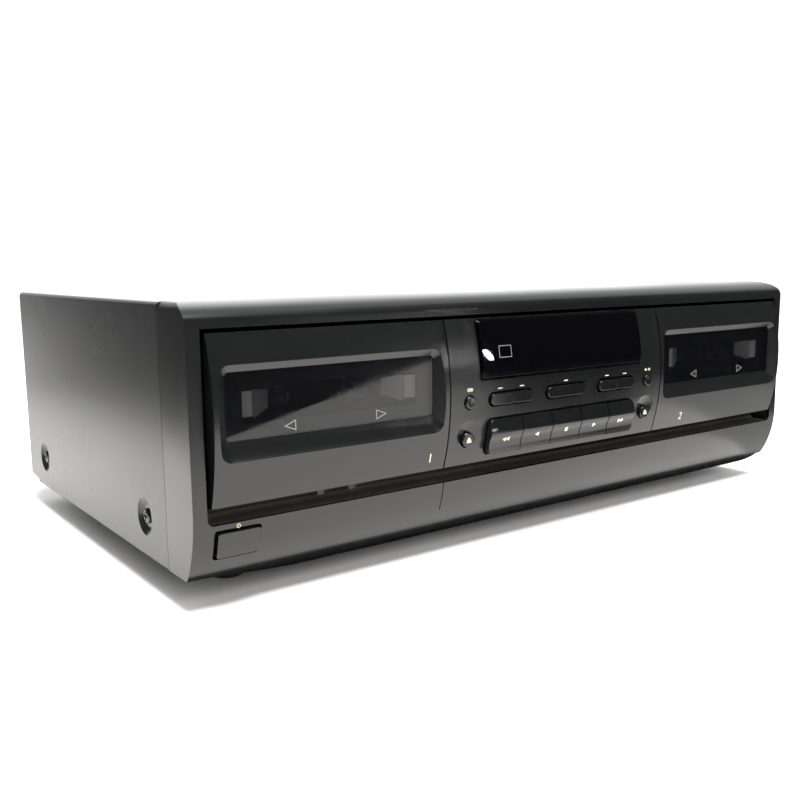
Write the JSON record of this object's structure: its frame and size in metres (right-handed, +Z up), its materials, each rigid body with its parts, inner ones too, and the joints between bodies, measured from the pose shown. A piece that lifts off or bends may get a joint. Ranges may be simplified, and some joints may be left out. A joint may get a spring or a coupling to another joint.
{
  "type": "cassette deck",
  "caption": "Hi-fi double auto-reverse cassette deck: dark steel case, moulded front with two tilting tape doors, display, push keys and the belt drives behind them.",
  "frame": {"origin": "on the floor under the middle of the whole deck", "axes": "+X to the right seen from the front, +Y to the back, +Z up"},
  "size_m": [0.43, 0.2786, 0.136],
  "materials": {
    "case_paint": "satin dark paint",
    "zinc_sheet": "zinc plated sheet",
    "bright_steel": "turned and polished",
    "charcoal_plastic": "satin moulding",
    "dark_plastic": "matt moulding",
    "white_plastic": "satin moulding",
    "gloss_black": "polished smoked moulding",
    "smoked_window": "clear smoked plastic",
    "rubber": "matt",
    "circuit_board": "lacquered board",
    "core_iron": "varnished laminations"
  },
  "bodies": {
    "case": {"chassis_pan": "zinc_sheet", "top_cover": "case_paint", "rear_panel": "case_paint", "front_panel": "charcoal_plastic", "centre_panel": "charcoal_plastic", "display_window": "gloss_black", "key_board": "circuit_board", "display_tube": "gloss_black", "main_board": "circuit_board", "transformer": "core_iron", "line_jacks": "dark_plastic", "mains_inlet": "dark_plastic", "foot_front_left": "rubber", "cover_screw_front_left": "case_paint", "foot_front_right": "rubber", "cover_screw_front_right": "case_paint", "foot_rear_left": "rubber", "cover_screw_rear_left": "case_paint", "foot_rear_right": "rubber", "cover_screw_rear_right": "case_paint", "mechanism_plate_1": "zinc_sheet", "motor_1": "zinc_sheet", "drive_belt_1": "rubber", "mechanism_plate_2": "zinc_sheet", "motor_2": "zinc_sheet", "drive_belt_2": "rubber"},
    "door_1": {"door_1_panel": "charcoal_plastic", "door_1_window": "smoked_window", "door_1_cassette_holder": "dark_plastic"},
    "door_2": {"door_2_panel": "charcoal_plastic", "door_2_window": "smoked_window", "door_2_cassette_holder": "dark_plastic"},
    "open_button_1": {"open_button_1": "charcoal_plastic"},
    "open_button_2": {"open_button_2": "charcoal_plastic"},
    "counter_reset_button": {"counter_reset_button": "charcoal_plastic"},
    "record_pause_button": {"record_pause_button": "charcoal_plastic"},
    "rewind_key": {"rewind_key": "charcoal_plastic"},
    "reverse_play_key": {"reverse_play_key": "charcoal_plastic"},
    "stop_key": {"stop_key": "charcoal_plastic"},
    "play_key": {"play_key": "charcoal_plastic"},
    "fast_forward_key": {"fast_forward_key": "charcoal_plastic"},
    "synchro_start_key": {"synchro_start_key": "charcoal_plastic"},
    "tape_speed_key": {"tape_speed_key": "charcoal_plastic"},
    "deck_select_key": {"deck_select_key": "charcoal_plastic"},
    "noise_reduction_key": {"noise_reduction_key": "charcoal_plastic"},
    "reverse_mode_key": {"reverse_mode_key": "charcoal_plastic"},
    "power_button": {"power_button": "charcoal_plastic"},
    "head_bridge_1": {"head_bridge_1": "zinc_sheet"},
    "reel_1_left": {"reel_spindle_1_left": "white_plastic"},
    "reel_1_right": {"reel_spindle_1_right": "white_plastic"},
    "capstan_1_left": {"capstan_flywheel_1_left": "bright_steel"},
    "capstan_1_right": {"capstan_flywheel_1_right": "bright_steel"},
    "motor_pulley_1": {"motor_pulley_1": "bright_steel"},
    "head_bridge_2": {"head_bridge_2": "zinc_sheet"},
    "reel_2_left": {"reel_spindle_2_left": "white_plastic"},
    "reel_2_right": {"reel_spindle_2_right": "white_plastic"},
    "capstan_2_left": {"capstan_flywheel_2_left": "bright_steel"},
    "capstan_2_right": {"capstan_flywheel_2_right": "bright_steel"},
    "motor_pulley_2": {"motor_pulley_2": "bright_steel"}
  },
  "joints": [
    {"name": "door_1_hinge", "type": "hinge", "parent": "case", "child": "door_1", "pos_m": [-0.1439, -0.1217, 0.05], "axis": [1, 0, 0], "range_deg": [0, 22]},
    {"name": "door_2_hinge", "type": "hinge", "parent": "case", "child": "door_2", "pos_m": [0.1439, -0.1217, 0.05], "axis": [1, 0, 0], "range_deg": [0, 22]},
    {"name": "open_button_1_press", "type": "slide", "parent": "case", "child": "open_button_1", "axis": [0, 1, 0], "range_m": [0, 0.0012], "stiffness_N_per_m": 300},
    {"name": "open_button_2_press", "type": "slide", "parent": "case", "child": "open_button_2", "axis": [0, 1, 0], "range_m": [0, 0.0012], "stiffness_N_per_m": 300},
    {"name": "counter_reset_button_press", "type": "slide", "parent": "case", "child": "counter_reset_button", "axis": [0, 1, 0], "range_m": [0, 0.0012], "stiffness_N_per_m": 300},
    {"name": "record_pause_button_press", "type": "slide", "parent": "case", "child": "record_pause_button", "axis": [0, 1, 0], "range_m": [0, 0.0012], "stiffness_N_per_m": 300},
    {"name": "rewind_key_press", "type": "slide", "parent": "case", "child": "rewind_key", "axis": [0, 1, 0], "range_m": [0, 0.0012], "stiffness_N_per_m": 300},
    {"name": "reverse_play_key_press", "type": "slide", "parent": "case", "child": "reverse_play_key", "axis": [0, 1, 0], "range_m": [0, 0.0012], "stiffness_N_per_m": 300},
    {"name": "stop_key_press", "type": "slide", "parent": "case", "child": "stop_key", "axis": [0, 1, 0], "range_m": [0, 0.0012], "stiffness_N_per_m": 300},
    {"name": "play_key_press", "type": "slide", "parent": "case", "child": "play_key", "axis": [0, 1, 0], "range_m": [0, 0.0012], "stiffness_N_per_m": 300},
    {"name": "fast_forward_key_press", "type": "slide", "parent": "case", "child": "fast_forward_key", "axis": [0, 1, 0], "range_m": [0, 0.0012], "stiffness_N_per_m": 300},
    {"name": "synchro_start_key_press", "type": "slide", "parent": "case", "child": "synchro_start_key", "axis": [0, 1, 0], "range_m": [0, 0.0012], "stiffness_N_per_m": 300},
    {"name": "tape_speed_key_press", "type": "slide", "parent": "case", "child": "tape_speed_key", "axis": [0, 1, 0], "range_m": [0, 0.0012], "stiffness_N_per_m": 300},
    {"name": "deck_select_key_press", "type": "slide", "parent": "case", "child": "deck_select_key", "axis": [0, 1, 0], "range_m": [0, 0.0012], "stiffness_N_per_m": 300},
    {"name": "noise_reduction_key_press", "type": "slide", "parent": "case", "child": "noise_reduction_key", "axis": [0, 1, 0], "range_m": [0, 0.0012], "stiffness_N_per_m": 300},
    {"name": "reverse_mode_key_press", "type": "slide", "parent": "case", "child": "reverse_mode_key", "axis": [0, 1, 0], "range_m": [0, 0.0012], "stiffness_N_per_m": 300},
    {"name": "power_button_press", "type": "slide", "parent": "case", "child": "power_button", "axis": [0, 1, 0], "range_m": [0, 0.0025], "stiffness_N_per_m": 300},
    {"name": "head_bridge_1_lift", "type": "slide", "parent": "case", "child": "head_bridge_1", "axis": [0, 0, 1], "range_m": [0, 0.009], "stiffness_N_per_m": 60, "springref_m": -0.004},
    {"name": "reel_1_left_spin", "type": "hinge", "parent": "case", "child": "reel_1_left", "pos_m": [-0.16515, -0.1214, 0.0907], "axis": [0, 1, 0], "continuous": true},
    {"name": "reel_1_right_spin", "type": "hinge", "parent": "case", "child": "reel_1_right", "pos_m": [-0.12265, -0.1214, 0.0907], "axis": [0, 1, 0], "continuous": true},
    {"name": "capstan_1_left_spin", "type": "hinge", "parent": "case", "child": "capstan_1_left", "pos_m": [-0.1669, -0.1207, 0.0656], "axis": [0, 1, 0], "continuous": true},
    {"name": "capstan_1_right_spin", "type": "hinge", "parent": "case", "child": "capstan_1_right", "pos_m": [-0.1209, -0.1207, 0.0656], "axis": [0, 1, 0], "continuous": true},
    {"name": "motor_1_spin", "type": "hinge", "parent": "case", "child": "motor_pulley_1", "pos_m": [-0.1939, -0.0927, 0.1046], "axis": [0, 1, 0], "continuous": true},
    {"name": "head_bridge_2_lift", "type": "slide", "parent": "case", "child": "head_bridge_2", "axis": [0, 0, 1], "range_m": [0, 0.009], "stiffness_N_per_m": 60, "springref_m": -0.004},
    {"name": "reel_2_left_spin", "type": "hinge", "parent": "case", "child": "reel_2_left", "pos_m": [0.12265, -0.1214, 0.0907], "axis": [0, 1, 0], "continuous": true},
    {"name": "reel_2_right_spin", "type": "hinge", "parent": "case", "child": "reel_2_right", "pos_m": [0.16515, -0.1214, 0.0907], "axis": [0, 1, 0], "continuous": true},
    {"name": "capstan_2_left_spin", "type": "hinge", "parent": "case", "child": "capstan_2_left", "pos_m": [0.1209, -0.1207, 0.0656], "axis": [0, 1, 0], "continuous": true},
    {"name": "capstan_2_right_spin", "type": "hinge", "parent": "case", "child": "capstan_2_right", "pos_m": [0.1669, -0.1207, 0.0656], "axis": [0, 1, 0], "continuous": true},
    {"name": "motor_2_spin", "type": "hinge", "parent": "case", "child": "motor_pulley_2", "pos_m": [0.0939, -0.0927, 0.1046], "axis": [0, 1, 0], "continuous": true}
  ],
  "couplings": [
    {"joint": "capstan_1_left_spin", "follows": "capstan_1_right_spin", "ratio": -1},
    {"joint": "motor_1_spin", "follows": "capstan_1_right_spin", "ratio": 5.375},
    {"joint": "capstan_2_left_spin", "follows": "capstan_2_right_spin", "ratio": -1},
    {"joint": "motor_2_spin", "follows": "capstan_2_right_spin", "ratio": 5.375}
  ]
}
